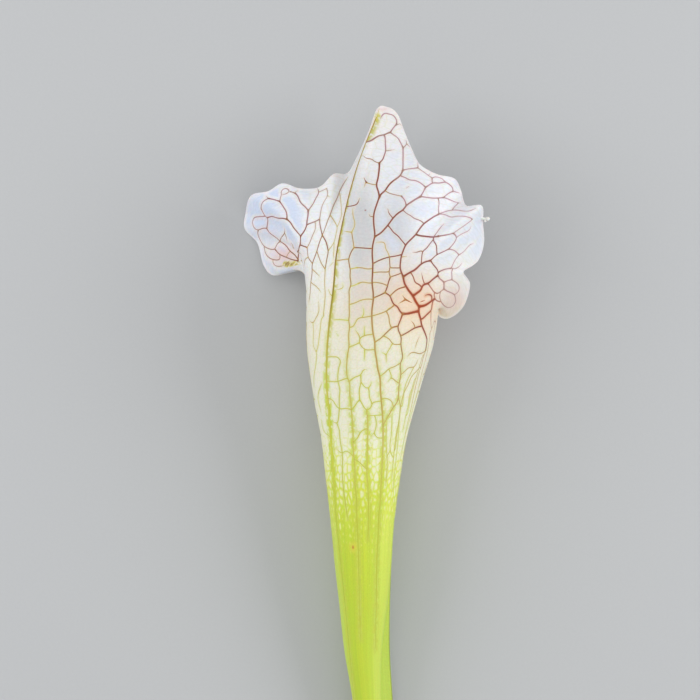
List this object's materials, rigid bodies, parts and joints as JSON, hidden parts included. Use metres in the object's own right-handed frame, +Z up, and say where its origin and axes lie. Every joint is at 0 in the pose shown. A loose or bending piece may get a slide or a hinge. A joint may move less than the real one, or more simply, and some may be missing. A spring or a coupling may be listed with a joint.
{
  "type": "white-topped pitcher plant leaf",
  "caption": "Cut pitcher leaf lying on its mouth side: a tapering hollow tube with a front keel, a rolled lip and a wavy, lobed white hood with a net of crimson veins.",
  "frame": {"origin": "on the surface that the leaf lies on, under the middle of its length and width", "axes": "+Y along the leaf from the cut stalk to the tip of the hood, +X to the right seen from above with the tip away from the viewer, +Z up"},
  "size_m": [0.101, 0.3806, 0.0595],
  "materials": {
    "leaf": "waxy, slightly translucent leaf: white net with crimson veins on the hood, passing into yellow-green down the tube"
  },
  "bodies": {
    "root": {"pitcher": "leaf"}
  },
  "joints": []
}
